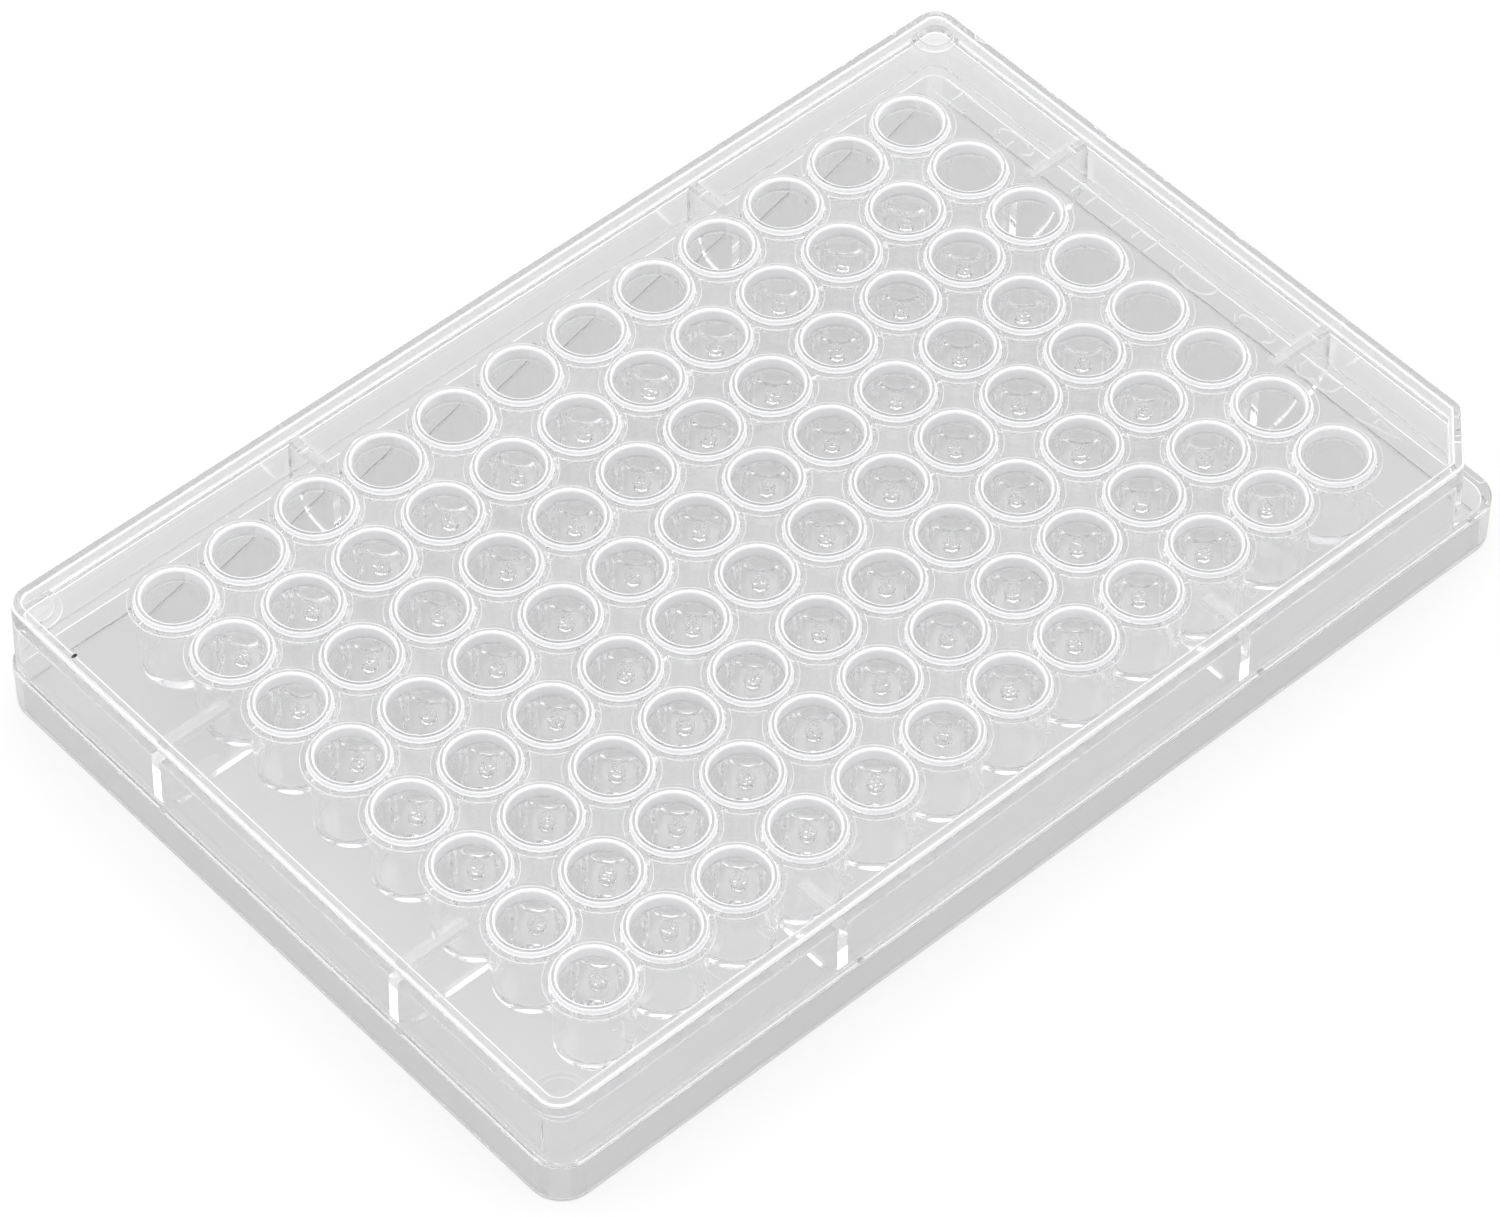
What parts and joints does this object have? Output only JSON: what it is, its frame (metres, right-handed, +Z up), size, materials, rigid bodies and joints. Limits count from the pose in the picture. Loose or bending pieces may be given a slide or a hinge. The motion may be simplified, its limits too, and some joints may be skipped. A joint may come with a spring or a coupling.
{
  "type": "well plate",
  "caption": "Clear moulded laboratory well plate: round flat-bottomed wells in a grid, raised rims, tray edge with one cut corner, stepped base skirt.",
  "frame": {"origin": "middle of the skirt's footprint, on the table", "axes": "+X along the long side with the twelve columns, +Z up out of the wells, the cut corner at +X -Y"},
  "size_m": [0.1278, 0.0854, 0.0145],
  "materials": {
    "clear_plastic": "clear polystyrene, polished"
  },
  "bodies": {
    "root": {"well_plate": "clear_plastic"}
  },
  "joints": []
}
